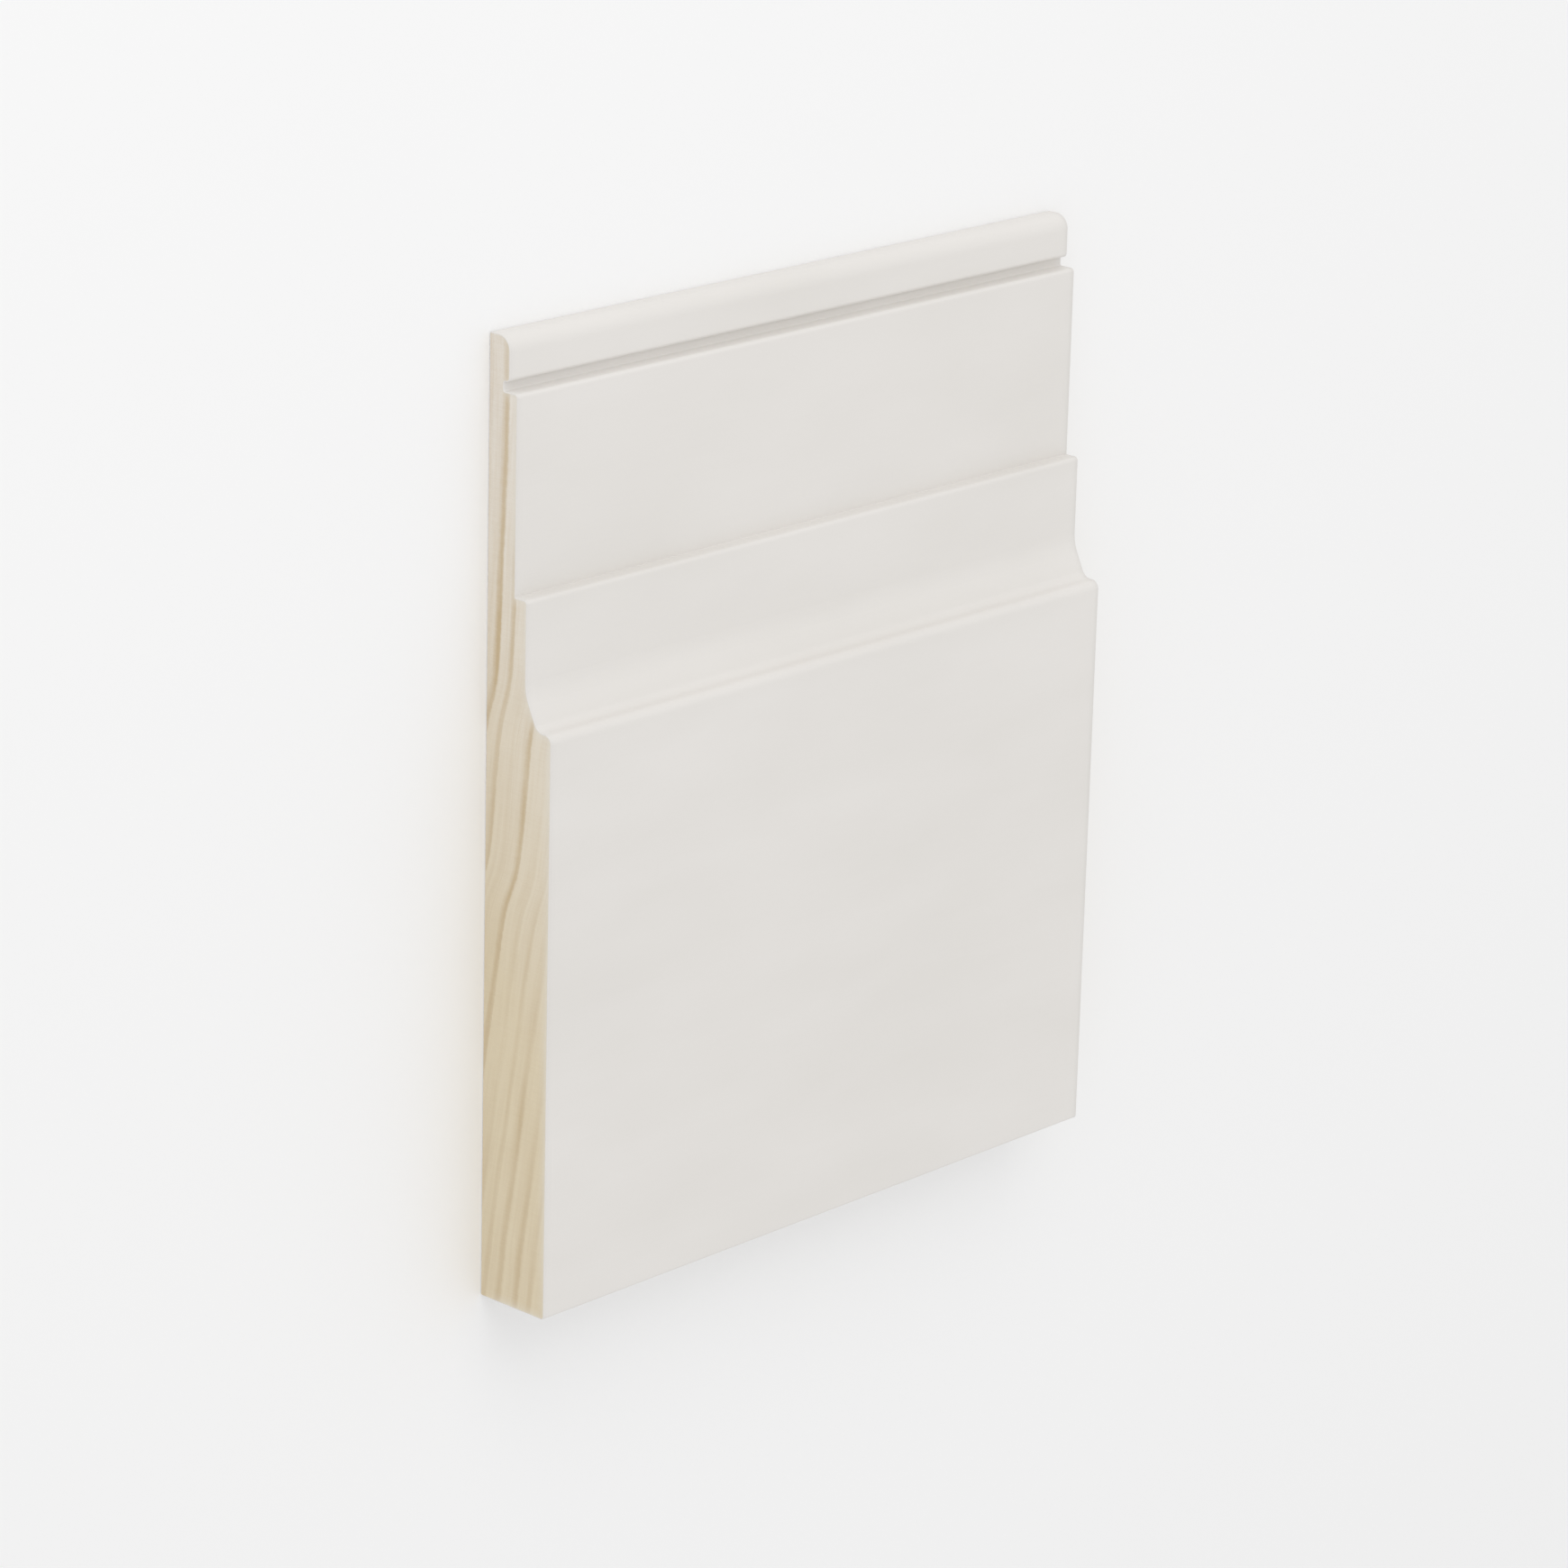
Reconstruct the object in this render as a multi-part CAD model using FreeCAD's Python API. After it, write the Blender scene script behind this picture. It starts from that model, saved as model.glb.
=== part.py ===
"""Skirting board, a short length of planed softwood moulding, lying on its back.

The board is one piece of wood with a constant section. It lies flat, so its
length runs along X, its height on the wall along Y and its thickness along Z.
The back face is on Z = 0. Seen on the wall, the front steps back from the
floor upwards: a tall plain plinth, a steep cove up to a lower fascia, a square
step to an upper fascia, and a quirk under a rounded bead at the top edge. The
moulded part keeps its size when the board's height changes, and the plinth
takes up what is left. All sizes are in millimetres.
"""
import FreeCAD
import Part

import math
import os

# Overall size of the length
board_length = 180.0
board_height = 220.0
board_thickness = 20.0

# Width of each band of the moulding, measured down from the top edge
bead_width = 10.0
quirk_width = 2.2
upper_fascia_width = 44.5
lower_fascia_width = 28.4

# Wood left behind each band, measured from the back face
quirk_floor_thickness = 4.4
bead_thickness = 6.2
upper_fascia_thickness = 8.6
lower_fascia_thickness = 12.1

# The steep cove, part of the lower fascia's width: it rises from a shelf on top of the
# plinth and leans back until it runs out into the fascia
plinth_shelf_width = 4.2
cove_height = 7.7
cove_foot_radius = 2.8
cove_top_radius = 10.0

# Radii of the bead and of the hollow in the corner of the step
bead_top_radius = 3.4
bead_foot_radius = 1.0
step_hollow_radius = 0.1

# Radii that the planer leaves on the other corners
plinth_arris_radius = 2.0
front_arris_radius = 0.9
back_arris_radius = 0.5
quirk_corner_radius = 0.4

# Most of a side that its two corner arcs may take up when they are too large for it
largest_arc_share = 0.95


def section_corners():
    """Corners of the section as (height, thickness, radius), round from the lower back one."""
    bead_foot = board_height - bead_width
    upper_fascia_top = bead_foot - quirk_width
    step = upper_fascia_top - upper_fascia_width
    plinth_top = step - lower_fascia_width
    return [
        (0.0, 0.0, back_arris_radius),
        (0.0, board_thickness, front_arris_radius),
        (plinth_top, board_thickness, plinth_arris_radius),
        (plinth_top, board_thickness - plinth_shelf_width, cove_foot_radius),
        (plinth_top + cove_height, lower_fascia_thickness, cove_top_radius),
        (step, lower_fascia_thickness, front_arris_radius),
        (step, upper_fascia_thickness, step_hollow_radius),
        (upper_fascia_top, upper_fascia_thickness, front_arris_radius),
        (upper_fascia_top, quirk_floor_thickness, quirk_corner_radius),
        (bead_foot, quirk_floor_thickness, quirk_corner_radius),
        (bead_foot, bead_thickness, bead_foot_radius),
        (board_height, bead_thickness, bead_top_radius),
        (board_height, 0.0, back_arris_radius),
    ]


def fitted_reaches(points, radii):
    """How far each corner's arc reaches along its two sides, limited by the shorter side."""
    count = len(points)
    reaches = []
    for i, radius in enumerate(radii):
        half_angle = (points[i - 1] - points[i]).getAngle(points[(i + 1) % count] - points[i]) / 2
        reaches.append(radius / math.tan(half_angle))
    limits = [1.0] * count
    for i in range(count):
        j = (i + 1) % count
        room = largest_arc_share * points[i].distanceToPoint(points[j]) / (reaches[i] + reaches[j])
        limits[i] = min(limits[i], room)
        limits[j] = min(limits[j], room)
    return [reach * limit for reach, limit in zip(reaches, limits)]


def rounded_outline(corners):
    """Closed wire through the corners, each one replaced by an arc tangent to its two sides."""
    points = [FreeCAD.Vector(0, height, thickness) for height, thickness, _ in corners]
    reaches = fitted_reaches(points, [radius for _, _, radius in corners])
    count = len(points)
    starts, middles, ends = [], [], []
    for i, corner in enumerate(points):
        back = (points[i - 1] - corner).normalize()
        ahead = (points[(i + 1) % count] - corner).normalize()
        half_angle = back.getAngle(ahead) / 2
        radius = reaches[i] * math.tan(half_angle)
        starts.append(corner + back * reaches[i])
        middles.append(corner + (back + ahead).normalize() * (radius / math.sin(half_angle) - radius))
        ends.append(corner + ahead * reaches[i])
    edges = []
    for i in range(count):
        edges.append(Part.Arc(starts[i], middles[i], ends[i]).toShape())
        edges.append(Part.LineSegment(ends[i], starts[(i + 1) % count]).toShape())
    return Part.Wire(edges)


def skirting_board():
    """The section run out along X, centred on the origin, with its back face on Z = 0."""
    section = Part.Face(rounded_outline(section_corners()))
    board = section.extrude(FreeCAD.Vector(board_length, 0, 0))
    board.translate(FreeCAD.Vector(-board_length / 2, -board_height / 2, 0))
    return board


os.makedirs("parts", exist_ok=True)
skirting_board().exportStep("parts/skirting_board.step")
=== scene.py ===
"""Finishes the skirting board: a white coat on its planed faces, bare pine on its two sawn ends.

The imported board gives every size. Its section is read from the end of its mesh and run out
again as a closed mesh with enough points for the marks that a planer and a saw leave, and for
the thin edge of the coat that shows round each sawn end. The board lies on its back on a pale
floor, and the camera looks down on it from the photograph's side. Lengths are in metres, apart
from the names that end in MM: the node trees work in millimetres.
"""

import math

import bmesh
import bpy
from mathutils import Matrix, Vector
from mathutils.geometry import delaunay_2d_cdt


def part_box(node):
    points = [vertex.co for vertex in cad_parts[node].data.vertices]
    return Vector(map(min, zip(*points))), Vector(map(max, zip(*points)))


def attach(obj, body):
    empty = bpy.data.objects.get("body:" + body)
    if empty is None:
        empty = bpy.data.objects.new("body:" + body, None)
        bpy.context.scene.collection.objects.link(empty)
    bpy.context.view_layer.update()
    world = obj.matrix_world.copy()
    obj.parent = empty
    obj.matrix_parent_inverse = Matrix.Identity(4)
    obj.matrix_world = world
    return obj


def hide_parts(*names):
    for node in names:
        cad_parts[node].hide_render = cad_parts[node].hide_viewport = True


MM = 0.001

# Spacing of the mesh points along the board, round its section and over its ends. The holding
# gap is between the last two points at each end of a long side, so that the side shades flat
STATION_SPACING = 2.0 * MM
OUTLINE_SPACING = 1.5 * MM
END_SPACING = 0.6 * MM
HOLDING_GAP = 0.15 * MM

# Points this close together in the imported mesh, or on an end, are one point
MERGE_DISTANCE = 1e-6
SAME_POINT = 1e-9

# A face that points this far along -X is part of the left end
END_FACING = -0.99
SHARP_ANGLE = math.radians(50)

# Marks of the tools: the broken edge of the sawn ends, how deep the saw cuts between its ridges
# and how far it wears the soft wood back, and the height of the planer's waves
SAWN_ARRIS = 0.1 * MM
COAT_THICKNESS = 0.13 * MM
SAW_MARK_DEPTH = 0.03 * MM
RING_RELIEF = 0.05 * MM
PLANER_WAVE = 0.03 * MM
PLANER_WAVE_MM = (70.0, 24.0, 24.0)
SAW_RIDGE_MM = 2.4
BLADE_CENTRE_MM = (-60.0, 150.0)

# Growth rings, across the ends of the board. Each one leans towards the front as it goes up,
# through one long bend and two short ones, given as (height, length, size)
RING_SPACING_MM = 4.65
RING_START_MM = 2.7
RING_BENDS_MM = ((-57.0, 85.0, 14.6), (-13.0, 5.0, 1.4), (28.0, 6.0, 1.4))
RING_WANDER_MM = 2.0
RING_WANDER_SIZES_MM = (200.0, 45.0, 30.0)
RING_UNEVENNESS = 0.5
UNEVENNESS_RINGS = 1.7

# Late wood: how dark it is through one ring, as (share of the ring, level). The strength of each
# ring comes from noise through a curve, read one step further on for each year from the start
LATE_WOOD_PLACE = 0.86
LATE_WOOD_CURVE = (
    (0.0, 0.3), (0.08, 0.0), (0.55, 0.15), (0.78, 0.9), (LATE_WOOD_PLACE, 1.0), (0.95, 0.8), (1.0, 0.3)
)
RING_STRENGTH_CURVE = ((0.35, 0.15), (0.6, 1.0))
START_YEAR = 34
YEAR_STEP = 7.92

# The coat: linear colours, sizes of its patterns along X, Y and Z, each pattern's share of the
# tone, its change of the roughness, and its height
COAT_COLOUR = (0.80, 0.775, 0.745)
COAT_SHADE = (0.76, 0.735, 0.70)
CLOUD_SIZES_MM = (60.0, 22.0, 22.0)
CLOUD_CURVE = ((0.3, 0.0), (0.7, 1.0))
FIBRE_SIZES_MM = (14.0, 0.55, 0.55)
STIPPLE_SIZES_MM = (1.1, 1.1, 1.1)
CLOUD_TONE = 0.7
GRAIN_TONE = 0.12
FIBRE_TONE = 0.18
COAT_ROUGHNESS = 0.42
CLOUD_ROUGHNESS = 0.12
STIPPLE_ROUGHNESS = 0.08
GRAIN_HEIGHT_MM = 0.008
FIBRE_HEIGHT_MM = 0.012
STIPPLE_HEIGHT_MM = 0.006

# The bare pine, in the same way. Streaks run along the rings, and the saw's lines round its blade
EARLY_WOOD = (0.74, 0.645, 0.47)
LATE_WOOD = (0.58, 0.455, 0.285)
PALE_WOOD_AND_PAINTED_LIGHT = (0.81, 0.76, 0.69)
WOBBLE_SIZES_MM = (1.4, 1.4, 1.4)
RAY_SIZES_MM = (8.0, 0.35, 7.0)
PORE_SIZES_MM = (0.3, 0.3, 0.3)
PATCH_SIZES_MM = (30.0, 30.0, 9.0)
STREAKS_PER_RING = 5.0
STREAK_LENGTH_MM = 18.0
SAW_LINE_MM = 0.9
WOBBLE = 0.10
LEAST_RING_TONE = 0.3
PATCH_TONE = 0.35
STREAK_TONE = 0.5
RAY_TONE = 0.2
PORE_TONE = 0.18
PALEST_TONE = 0.545
PINE_ROUGHNESS = 0.68
PORE_ROUGHNESS = 0.15
RING_HEIGHT_MM = 0.03
SAW_HEIGHT_MM = 0.03
PORE_HEIGHT_MM = 0.03
RAY_HEIGHT_MM = 0.01

# The rings fade towards the front, as (share of the thickness, level). The wood is made paler further
# up and further forward, by its whole range over these lengths. This is painted light: the end is
# lighter towards its top and front, where more light falls. The paler patches are the wood's own tone
FADE_CURVE = ((0.6, 1.0), (0.95, 0.4))
PAINTED_LIGHT_UP_MM = 130.0
PAINTED_LIGHT_FORWARD_MM = 100.0
PALER_PATCHES = 0.3
PALER_START = 0.1

# Coat rubbed into the sawn wood along its edges, as (share of the rubbed width, level). There is
# none near the back: it starts this far forward, and is at full strength after the fade
SMEARED_COAT = (0.78, 0.74, 0.66)
RUBBED_CURVE = ((0.0, 0.6), (0.4, 0.2), (1.0, 0.0))
RUBBED_WIDTH_MM = 2.4
RUBBED_UNEVENNESS_MM = 2.0
RUBBED_FROM_MM = 2.0
RUBBED_FADE_MM = 4.0

# Studio
FLOOR_SIZE = 8.0
FLOOR_COLOUR = (0.95, 0.95, 0.95)
FLOOR_ROUGHNESS = 0.9
FLOOR_GLOSS = 0.1
BACKDROP_COLOUR = (0.95, 0.95, 0.95)
WORLD_LEVEL = 0.85
KEY_PLACE = (-0.3, 1.1, 0.8)
KEY_SIZE = 1.2
KEY_POWER = 4.0

# Camera, placed as in the photograph, where the board's height points up the picture
CAMERA_PLACE = Vector((-0.9413, 0.4082, 0.8773))
CAMERA_FORWARD = Vector((0.6974, -0.3092, -0.6466))
CAMERA_UP = Vector((0.209, 0.9507, -0.2292))
CAMERA_REACH = (0.05, 50.0)
FOCAL_PIXELS = 6591.0
PICTURE_PIXELS = 1740.0
SENSOR_WIDTH = 36.0

# Places of the Mix node's sockets, whose names are the same for every kind of data
COLOUR_A, COLOUR_B, COLOUR_RESULT = 6, 7, 2
VECTOR_A, VECTOR_B, VECTOR_RESULT = 4, 5, 1


class Wire:
    """An output socket of a node tree. Sums and products of wires add Math nodes to the tree."""

    def __init__(self, tree, socket=None):
        self.tree = tree
        self.socket = socket

    def node(self, kind, sockets=None, out=0, stops=None, **settings):
        """Adds a node, with its settings first and then its sockets' values or wires, and gives
        the output of that number or name."""
        made = self.tree.nodes.new(kind)
        for name, value in settings.items():
            setattr(made, name, value)
        if stops:
            ramp = made.color_ramp
            while len(ramp.elements) < len(stops):
                ramp.elements.new(0.5)
            for element, (place, level) in zip(ramp.elements, stops):
                element.position = place
                element.color = (level, level, level, 1.0)
        for key, value in (sockets or {}).items():
            if isinstance(value, Wire):
                self.tree.links.new(value.socket, made.inputs[key])
            else:
                made.inputs[key].default_value = value
        return Wire(self.tree, made.outputs[out])

    def math(self, operation, *values):
        return self.node("ShaderNodeMath", dict(enumerate(values)), operation=operation)

    def __add__(self, other):
        return self.math("ADD", self, other)

    __radd__ = __add__

    def __sub__(self, other):
        return self.math("SUBTRACT", self, other)

    def __rsub__(self, other):
        return self.math("SUBTRACT", other, self)

    def __mul__(self, other):
        return self.math("MULTIPLY", self, other)

    __rmul__ = __mul__

    def __truediv__(self, other):
        return self.math("DIVIDE", self, other)

    def __neg__(self):
        return self.math("MULTIPLY", self, -1.0)

    def parts(self):
        """The X, Y and Z of a vector."""
        split = self.node("ShaderNodeSeparateXYZ", {0: self})
        return [Wire(self.tree, socket) for socket in split.socket.node.outputs]

    def vector(self, x, y, z):
        return self.node("ShaderNodeCombineXYZ", {0: x, 1: y, 2: z})

    def noise(self, detail=2.0, roughness=0.5):
        """Smooth noise, about 0.5, that varies over one unit of this vector."""
        sockets = {"Vector": self, "Scale": 1.0, "Detail": detail, "Roughness": roughness}
        return self.node("ShaderNodeTexNoise", sockets)

    def line_noise(self, detail=2.0):
        """Smooth noise, about 0.5, that varies over one unit of this value."""
        return self.vector(self, 0.0, 0.0).noise(detail)

    def ramp(self, stops):
        """This value through a curve of (place, level) stops."""
        return self.node("ShaderNodeValToRGB", {0: self}, stops=stops)

    def clamped(self):
        """This value, held between 0 and 1."""
        return self.ramp(((0.0, 0.0), (1.0, 1.0)))

    def mix(self, first, second):
        """The first colour where this value is 0, the second where it is 1."""
        sockets = {0: self}
        for key, colour in ((COLOUR_A, first), (COLOUR_B, second)):
            sockets[key] = colour if isinstance(colour, Wire) else (*colour, 1.0)
        return self.node("ShaderNodeMix", sockets, out=COLOUR_RESULT, data_type="RGBA")

    def attribute(self, name):
        """A number that the mesh keeps for each of its points, in a material."""
        return self.node("ShaderNodeAttribute", out="Fac", attribute_name=name)

    def kept(self, name, kind):
        """A value that the mesh keeps, in a Geometry Nodes tree."""
        return self.node("GeometryNodeInputNamedAttribute", {"Name": name}, data_type=kind)


def pattern(place, sizes, detail=2.0, roughness=0.5):
    """Smooth noise, about 0.5, that varies over these sizes along X, Y and Z."""
    scaled = [part / size for part, size in zip(place, sizes)]
    return place[0].vector(*scaled).noise(detail, roughness)


def new_material(name):
    """A material with its Principled shader, and a wire to start its tree from."""
    material = bpy.data.materials.new(name)
    material.use_nodes = True
    shader = material.node_tree.nodes["Principled BSDF"]
    return material, shader, Wire(material.node_tree)


def feed(shader, name, wire):
    wire.tree.links.new(wire.socket, shader.inputs[name])


def feed_height(shader, height):
    """Makes a height in millimetres the shader's bump."""
    bump = height.node("ShaderNodeBump", {"Strength": 1.0, "Distance": MM, "Height": height})
    feed(shader, "Normal", bump)


def in_millimetres(place):
    """X, Y and Z of a place, in millimetres."""
    return [part * (1.0 / MM) for part in place.parts()]


def late_wood(growth):
    """How much dark late wood there is: it comes on slowly in each ring and ends sharply."""
    year = growth.math("FLOOR", growth)
    strength = (year * YEAR_STEP).line_noise(detail=0.0).ramp(RING_STRENGTH_CURVE)
    late = growth.math("FRACT", growth).ramp(LATE_WOOD_CURVE)
    return late * strength


def white_coat():
    """Thin white coat, satin, with the grain and the planer's waves showing through a little."""
    material, shader, start = new_material("white_coat")
    place = in_millimetres(start.node("ShaderNodeTexCoord", out="Object"))
    grain = late_wood(start.attribute("growth"))
    clouds = pattern(place, CLOUD_SIZES_MM, detail=3.0)
    fibres = pattern(place, FIBRE_SIZES_MM, detail=3.0, roughness=0.6)
    stipple = pattern(place, STIPPLE_SIZES_MM)
    tone = clouds.ramp(CLOUD_CURVE) * CLOUD_TONE + grain * GRAIN_TONE + fibres * FIBRE_TONE
    feed(shader, "Base Color", tone.mix(COAT_COLOUR, COAT_SHADE))
    feed(shader, "Roughness", clouds * CLOUD_ROUGHNESS + stipple * STIPPLE_ROUGHNESS + COAT_ROUGHNESS)
    feed_height(shader, grain * GRAIN_HEIGHT_MM + fibres * FIBRE_HEIGHT_MM + stipple * STIPPLE_HEIGHT_MM)
    return material


def bare_pine(thickness_mm):
    """Sawn end grain: rings, rays across them, fine saw lines, coat rubbed in at the edge, and painted
    light that makes the end paler further up and forward.
    """
    material, shader, start = new_material("bare_pine")
    place = in_millimetres(start.node("ShaderNodeTexCoord", out="Object"))
    x, y, z = place
    growth = start.attribute("growth")
    rings = late_wood(growth + pattern(place, WOBBLE_SIZES_MM) * WOBBLE)
    rays = pattern(place, RAY_SIZES_MM)
    pores = pattern(place, PORE_SIZES_MM, detail=1.0)
    patches = pattern(place, PATCH_SIZES_MM)
    streaks = start.vector(growth * STREAKS_PER_RING, y / STREAK_LENGTH_MM, x / STREAK_LENGTH_MM).noise()
    saw = (start.attribute("blade") / SAW_LINE_MM).line_noise()

    faded = (z / thickness_mm).ramp(FADE_CURVE)
    tone = (
        rings * (patches + LEAST_RING_TONE) * faded
        + patches * PATCH_TONE
        + streaks * STREAK_TONE
        + rays * RAY_TONE
        + pores * PORE_TONE
        - PALEST_TONE
    )
    # Painted light: the end grain is made lighter further up and further forward. The patches add the
    # wood's own paler tone
    paler_wood_and_painted_light = y / PAINTED_LIGHT_UP_MM + z / PAINTED_LIGHT_FORWARD_MM + patches * PALER_PATCHES + PALER_START
    wood = tone.clamped().mix(paler_wood_and_painted_light.clamped().mix(EARLY_WOOD, PALE_WOOD_AND_PAINTED_LIGHT), LATE_WOOD)

    from_edge = start.attribute("from_edge") + (patches - 0.5) * RUBBED_UNEVENNESS_MM
    near_edge = (from_edge / RUBBED_WIDTH_MM).ramp(RUBBED_CURVE)
    rubbed = near_edge * ((z - RUBBED_FROM_MM) / RUBBED_FADE_MM).clamped()
    feed(shader, "Base Color", rubbed.mix(wood, SMEARED_COAT))
    feed(shader, "Roughness", pores * PORE_ROUGHNESS + PINE_ROUGHNESS)
    feed_height(
        shader,
        rings * RING_HEIGHT_MM + saw * SAW_HEIGHT_MM + pores * PORE_HEIGHT_MM + rays * RAY_HEIGHT_MM,
    )
    return material


def end_outline(cad):
    """Points (y, z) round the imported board's left end, anticlockwise seen from +X."""
    mesh = bmesh.new()
    mesh.from_mesh(cad.data)
    bmesh.ops.remove_doubles(mesh, verts=mesh.verts, dist=MERGE_DISTANCE)
    mesh.normal_update()
    end_faces = {face for face in mesh.faces if face.normal.x < END_FACING}
    after = {}
    for face in end_faces:
        for loop in face.loops:
            if not any(other in end_faces for other in loop.edge.link_faces if other != face):
                after[loop.link_loop_next.vert] = loop.vert
    first = next(iter(after))
    points = []
    vert = first
    while not points or vert != first:
        points.append(Vector((vert.co.y, vert.co.z)))
        vert = after[vert]
    mesh.free()
    return points


def with_more_points(points, spacing):
    """The same outline with its long sides divided, closely at their ends so that they shade flat."""
    made = []
    for i, point in enumerate(points):
        following = points[(i + 1) % len(points)]
        length = (following - point).length
        made.append(point)
        if length > spacing:
            count = math.ceil(length / spacing)
            hold = HOLDING_GAP / length
            made += [point.lerp(following, hold + (1.0 - 2.0 * hold) * k / count) for k in range(count + 1)]
    return made


def inset(points, distance):
    """The outline with each point moved inwards by a distance."""
    count = len(points)
    made = []
    for i, point in enumerate(points):
        before = (point - points[i - 1]).normalized()
        ahead = (points[(i + 1) % count] - point).normalized()
        inwards = Vector((-(before + ahead).y, (before + ahead).x)).normalized()
        made.append(point + inwards * distance)
    return made


def inside(point, outline):
    """True if the point is within the closed outline."""
    hit = False
    for i, a in enumerate(outline):
        b = outline[i - 1]
        if (a.y > point.y) != (b.y > point.y):
            if point.x < (b.x - a.x) * (point.y - a.y) / (b.y - a.y) + a.x:
                hit = not hit
    return hit


def edge_distance(point, outline):
    """Distance from the point to the nearest side of the outline."""
    nearest = math.inf
    for i, a in enumerate(outline):
        side = outline[i - 1] - a
        share = max(0.0, min(1.0, (point - a).dot(side) / side.length_squared))
        nearest = min(nearest, (a + side * share - point).length)
    return nearest


def end_lattice(outline, spacing):
    """Points of a square lattice inside the outline, each with its distance to the outline."""
    low_y, high_y = min(p.x for p in outline), max(p.x for p in outline)
    low_z, high_z = min(p.y for p in outline), max(p.y for p in outline)
    made = []
    for i in range(1, int((high_y - low_y) / spacing) + 1):
        for k in range(1, int((high_z - low_z) / spacing) + 1):
            point = Vector((low_y + i * spacing, low_z + k * spacing))
            if inside(point, outline):
                distance = edge_distance(point, outline)
                if distance > spacing / 2:
                    made.append((point, distance))
    return made


def end_triangles(inner, lattice):
    """Triangles inside the inner outline, over its points followed by the lattice points."""
    points = list(inner) + [point for point, _ in lattice]
    ring = list(range(len(inner)))
    keep_inside = 1
    _, _, triangles, came_from, _, _ = delaunay_2d_cdt(points, [], [ring], keep_inside, SAME_POINT)
    return [[came_from[i][0] for i in triangle] for triangle in triangles]


def side_faces(loop_count, count):
    """Squares between each loop of points and the next."""
    faces = []
    for k in range(loop_count - 1):
        here, there = k * count, (k + 1) * count
        for i in range(count):
            j = (i + 1) % count
            faces.append((here + i, here + j, there + j, there + i))
    return faces


def blank_board(outline, low_x, high_x):
    """Closed mesh of the board. It keeps which faces are sawn, and how far their points are from
    the edge, in millimetres."""
    rim = with_more_points(outline, OUTLINE_SPACING)
    count = len(rim)
    arris = inset(rim, SAWN_ARRIS)
    inner = inset(rim, SAWN_ARRIS + COAT_THICKNESS)
    lattice = end_lattice(inner, END_SPACING)
    triangles = end_triangles(inner, lattice)

    steps = math.ceil((high_x - low_x) / STATION_SPACING)
    first, last = low_x + SAWN_ARRIS, high_x - SAWN_ARRIS
    loops = [(low_x, inner), (low_x, arris)]
    loops += [(first + (last - first) * k / steps, rim) for k in range(steps + 1)]
    loops += [(high_x, arris), (high_x, inner)]

    points = [(x, p.x, p.y) for x, loop in loops for p in loop]
    faces = side_faces(len(loops), count)
    sides = len(faces)
    distances = [0.0] * len(points)
    for x, start, turn in ((low_x, 0, -1), (high_x, (len(loops) - 1) * count, 1)):
        extra = len(points) - count
        points += [(x, p.x, p.y) for p, _ in lattice]
        distances += [distance / MM for _, distance in lattice]
        for triangle in triangles:
            faces.append([i + (start if i < count else extra) for i in triangle[::turn]])

    mesh = bpy.data.meshes.new("board")
    mesh.from_pydata(points, [], faces)
    mesh.attributes.new("from_edge", "FLOAT", "POINT").data.foreach_set("value", distances)
    on_end = [k >= sides for k in range(len(faces))]
    mesh.attributes.new("sawn", "BOOLEAN", "FACE").data.foreach_set("value", on_end)
    return mesh


def ring_growth(place, given):
    """Number of the growth ring at a place, with its late wood darkest at LATE_WOOD_PLACE."""
    _, y, z = place
    wander = pattern(place, RING_WANDER_SIZES_MM) - 0.5
    course = RING_START_MM
    for height, length, size in RING_BENDS_MM:
        course = course + y.math("TANH", (y - height) / length) * size
    even = (z - course + wander * given["Ring wander"]) / given["Ring spacing"]
    gaps = (even / UNEVENNESS_RINGS).line_noise(detail=0.0) - 0.5
    return even + gaps * given["Ring unevenness"] + (START_YEAR + LATE_WOOD_PLACE)


def blade_distance(place):
    """Distance from the middle of the saw's blade, in millimetres."""
    _, y, z = place
    from_centre = y.vector(0.0, y - BLADE_CENTRE_MM[0], z - BLADE_CENTRE_MM[1])
    return y.node("ShaderNodeVectorMath", {0: from_centre}, out="Value", operation="LENGTH")


def mark_offset(place, growth, blade, given):
    """How far the tools moved a point: in from a sawn end, or along the normal of a planed face."""
    x = place[0]
    soft_wood = 1.0 - late_wood(growth)
    ridges = (blade / SAW_RIDGE_MM).line_noise(detail=1.0)
    sunk = soft_wood * given["Ring relief"] + ridges * given["Saw mark depth"]
    sawn = x.vector(-(x.math("SIGN", x) * sunk), 0.0, 0.0)
    wave = pattern(place, PLANER_WAVE_MM, detail=1.0) * 2.0 - 1.0
    lift = {0: x.node("GeometryNodeInputNormal"), "Scale": wave * given["Planer wave"]}
    planed = x.node("ShaderNodeVectorMath", lift, operation="SCALE")
    on_end = x.math("GREATER_THAN", x.kept("from_edge", "FLOAT"), 0.0)
    either = {0: on_end, VECTOR_A: planed, VECTOR_B: sawn}
    return x.node("ShaderNodeMix", either, out=VECTOR_RESULT, data_type="VECTOR")


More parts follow.
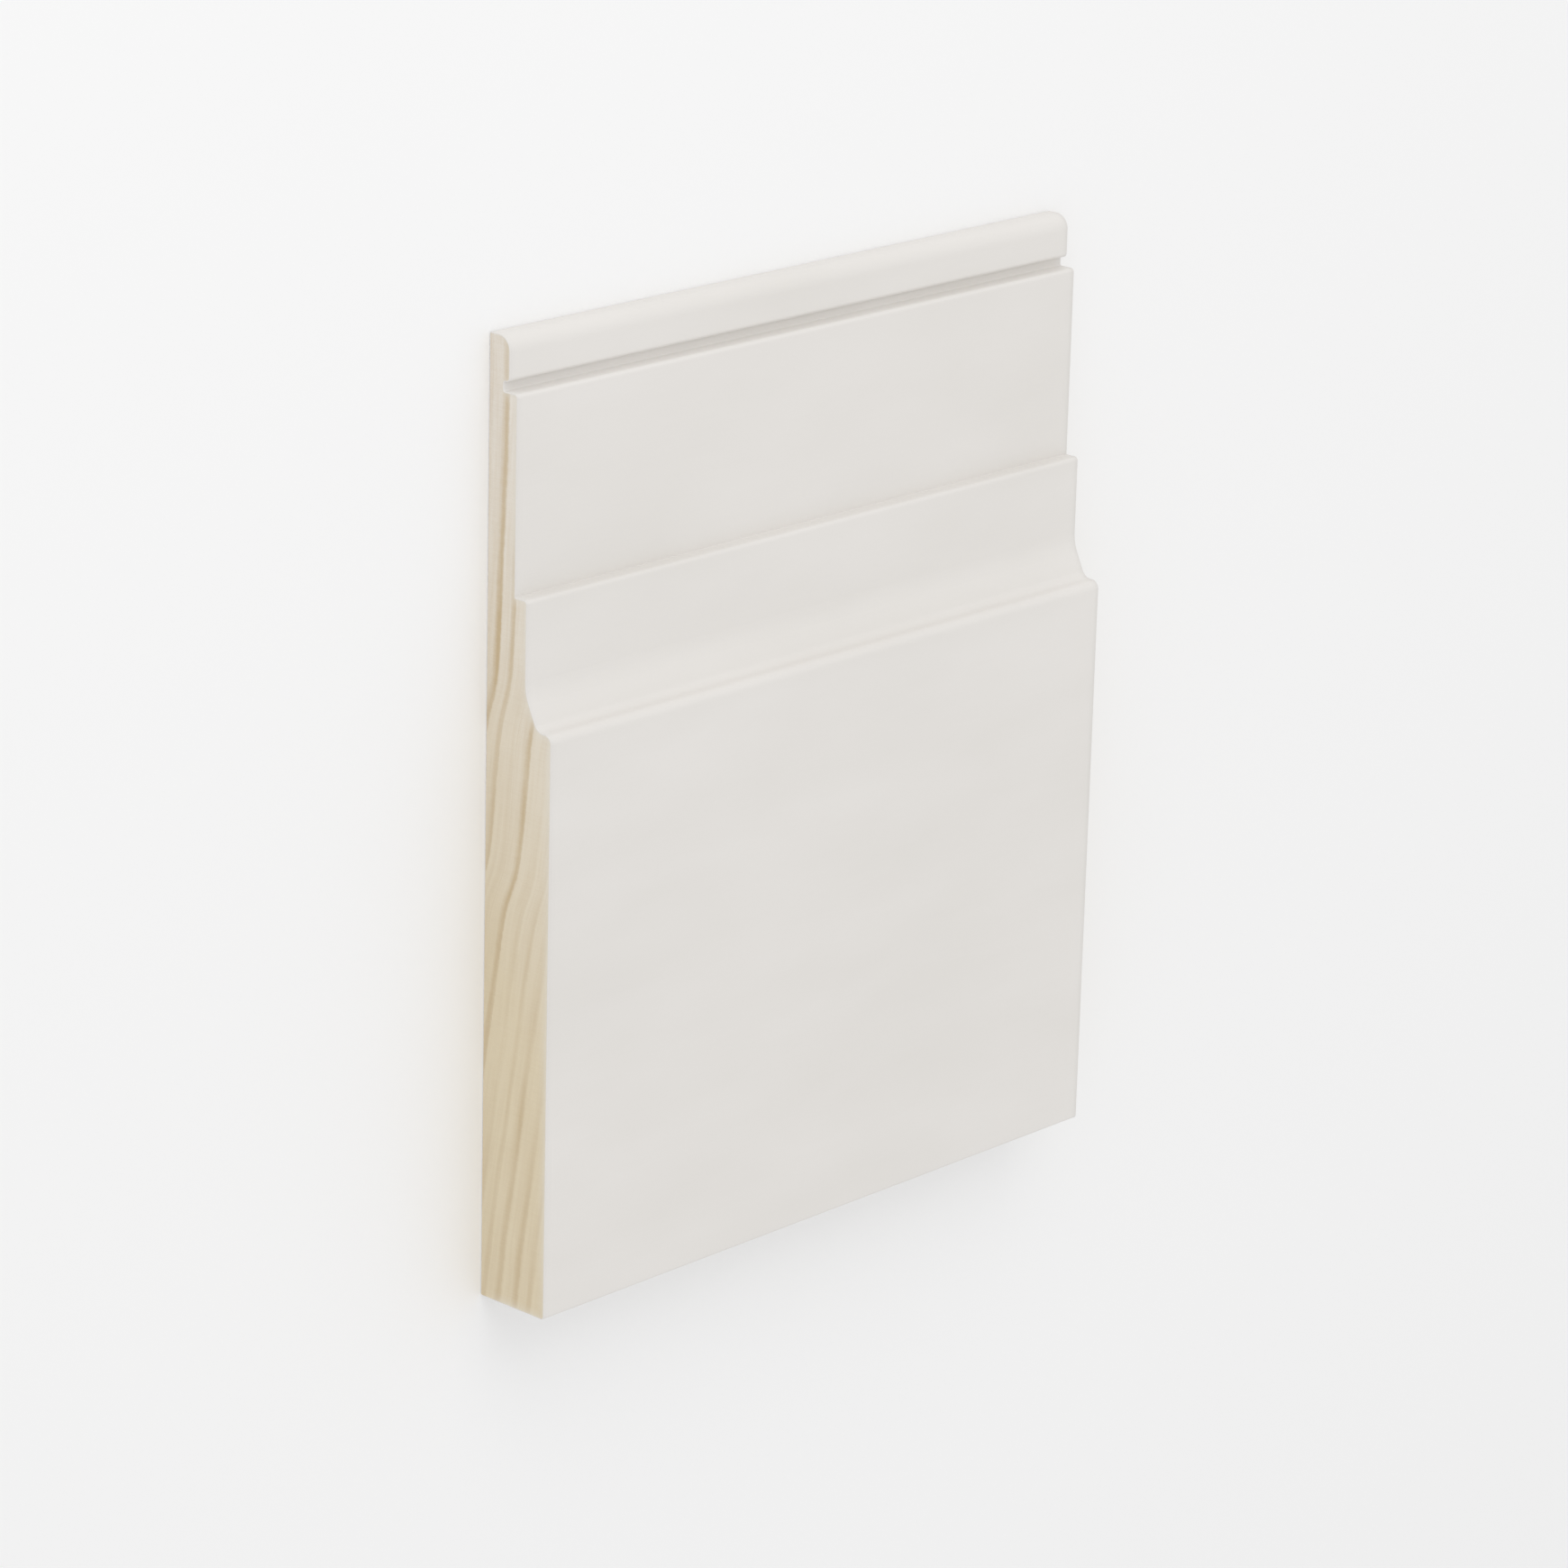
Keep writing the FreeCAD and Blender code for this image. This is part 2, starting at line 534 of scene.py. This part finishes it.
def tool_marks(coat, wood):
    """Node tree that gives a blank board its rings, its tool marks and its two materials, and the
    sizes that go into the tree."""
    tree = bpy.data.node_groups.new("tool_marks", "GeometryNodeTree")
    sizes = {
        "Ring spacing": RING_SPACING_MM,
        "Ring wander": RING_WANDER_MM,
        "Ring unevenness": RING_UNEVENNESS,
        "Ring relief": RING_RELIEF,
        "Saw mark depth": SAW_MARK_DEPTH,
        "Planer wave": PLANER_WAVE,
    }
    tree.interface.new_socket("Geometry", in_out="INPUT", socket_type="NodeSocketGeometry")
    tree.interface.new_socket("Geometry", in_out="OUTPUT", socket_type="NodeSocketGeometry")
    for name in sizes:
        tree.interface.new_socket(name, in_out="INPUT", socket_type="NodeSocketFloat")
    source = tree.nodes.new("NodeGroupInput")
    given = {socket.name: Wire(tree, socket) for socket in source.outputs if socket.name}

    start = Wire(tree)
    place = in_millimetres(start.node("GeometryNodeInputPosition"))
    growth = ring_growth(place, given)
    blade = blade_distance(place)
    geometry = given["Geometry"]
    for name, value in (("growth", growth), ("blade", blade)):
        sockets = {"Geometry": geometry, "Name": name, "Value": value}
        geometry = start.node("GeometryNodeStoreNamedAttribute", sockets, data_type="FLOAT", domain="POINT")
    moved = {"Geometry": geometry, "Offset": mark_offset(place, growth, blade, given)}
    geometry = start.node("GeometryNodeSetPosition", moved)
    geometry = start.node("GeometryNodeRealizeInstances", {"Geometry": geometry})
    geometry = start.node("GeometryNodeSetMaterial", {"Geometry": geometry, "Material": coat})
    ends = {"Geometry": geometry, "Selection": start.kept("sawn", "BOOLEAN"), "Material": wood}
    geometry = start.node("GeometryNodeSetMaterial", ends)
    result = tree.nodes.new("NodeGroupOutput")
    tree.links.new(geometry.socket, result.inputs["Geometry"])
    return tree, sizes


def dressed_board(outline, low, high):
    """The finished board as one plain mesh object."""
    tree, sizes = tool_marks(white_coat(), bare_pine((high.z - low.z) / MM))
    blank = bpy.data.objects.new("blank", blank_board(outline, low.x, high.x))
    bpy.context.scene.collection.objects.link(blank)
    modifier = blank.modifiers.new("tool_marks", "NODES")
    modifier.node_group = tree
    for item in tree.interface.items_tree:
        if item.in_out == "INPUT" and item.name in sizes:
            modifier[item.identifier] = sizes[item.name]
    depsgraph = bpy.context.evaluated_depsgraph_get()
    mesh = bpy.data.meshes.new_from_object(
        blank.evaluated_get(depsgraph), preserve_all_data_layers=True, depsgraph=depsgraph
    )
    bpy.data.objects.remove(blank)
    mesh.shade_smooth()
    mesh.set_sharp_from_angle(angle=SHARP_ANGLE)
    mesh.name = "dressed_board"
    board = bpy.data.objects.new("dressed_board", mesh)
    bpy.context.scene.collection.objects.link(board)
    return board


def floor_material():
    """Plain matte material of one pale colour."""
    material, shader, _ = new_material("studio_floor")
    shader.inputs["Base Color"].default_value = (*FLOOR_COLOUR, 1.0)
    shader.inputs["Roughness"].default_value = FLOOR_ROUGHNESS
    shader.inputs["Specular IOR Level"].default_value = FLOOR_GLOSS
    return material


def make_floor(level):
    """Wide pale floor at the height that the board lies on."""
    mesh = bpy.data.meshes.new("floor")
    half = FLOOR_SIZE / 2
    corners = [(-half, -half, level), (half, -half, level), (half, half, level), (-half, half, level)]
    mesh.from_pydata(corners, [], [(0, 1, 2, 3)])
    mesh.materials.append(floor_material())
    floor = bpy.data.objects.new("floor", mesh)
    bpy.context.scene.collection.objects.link(floor)


def make_world():
    """Even pale light from all round; the camera, gloss and glass see the backdrop's colour."""
    world = bpy.data.worlds.new("studio")
    world.use_nodes = True
    bpy.context.scene.world = world
    tree = world.node_tree
    start = Wire(tree)
    seen = start.node("ShaderNodeLightPath", out="Is Camera Ray")
    for ray in ("Is Glossy Ray", "Is Transmission Ray"):
        seen = start.math("MAXIMUM", seen, start.node("ShaderNodeLightPath", out=ray))
    level = (WORLD_LEVEL,) * 3
    tree.links.new(seen.mix(level, BACKDROP_COLOUR).socket, tree.nodes["Background"].inputs["Color"])


def make_key_lamp():
    """Square soft lamp beyond the top edge of the board, facing the board."""
    lamp = bpy.data.lights.new("key_lamp", "AREA")
    lamp.size = KEY_SIZE
    lamp.energy = KEY_POWER
    holder = bpy.data.objects.new("key_lamp", lamp)
    holder.location = KEY_PLACE
    holder.rotation_euler = (-Vector(KEY_PLACE)).to_track_quat("-Z", "Y").to_euler()
    bpy.context.scene.collection.objects.link(holder)


def make_camera():
    """The photograph's view of the board, with the board's height pointing up the picture."""
    camera = bpy.data.cameras.new("camera")
    camera.sensor_width = SENSOR_WIDTH
    camera.lens = FOCAL_PIXELS / PICTURE_PIXELS * SENSOR_WIDTH
    camera.clip_start, camera.clip_end = CAMERA_REACH
    holder = bpy.data.objects.new("camera", camera)
    forward = CAMERA_FORWARD.normalized()
    right = forward.cross(CAMERA_UP).normalized()
    turn = Matrix((right, right.cross(forward), -forward)).transposed()
    holder.matrix_world = Matrix.Translation(CAMERA_PLACE) @ turn.to_4x4()
    bpy.context.scene.collection.objects.link(holder)
    bpy.context.scene.camera = holder


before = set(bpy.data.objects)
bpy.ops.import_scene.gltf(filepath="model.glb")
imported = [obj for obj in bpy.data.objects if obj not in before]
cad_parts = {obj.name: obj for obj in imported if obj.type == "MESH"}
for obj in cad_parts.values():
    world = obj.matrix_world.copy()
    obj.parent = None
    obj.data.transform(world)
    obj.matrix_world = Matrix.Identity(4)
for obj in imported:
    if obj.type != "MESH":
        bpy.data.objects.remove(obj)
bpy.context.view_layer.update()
low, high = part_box("skirting_board")

board = dressed_board(end_outline(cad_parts["skirting_board"]), low, high)
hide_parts("skirting_board")
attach(board, "root")

make_floor(low.z)
make_world()
make_key_lamp()
make_camera()
bpy.context.scene.view_settings.view_transform = "Standard"
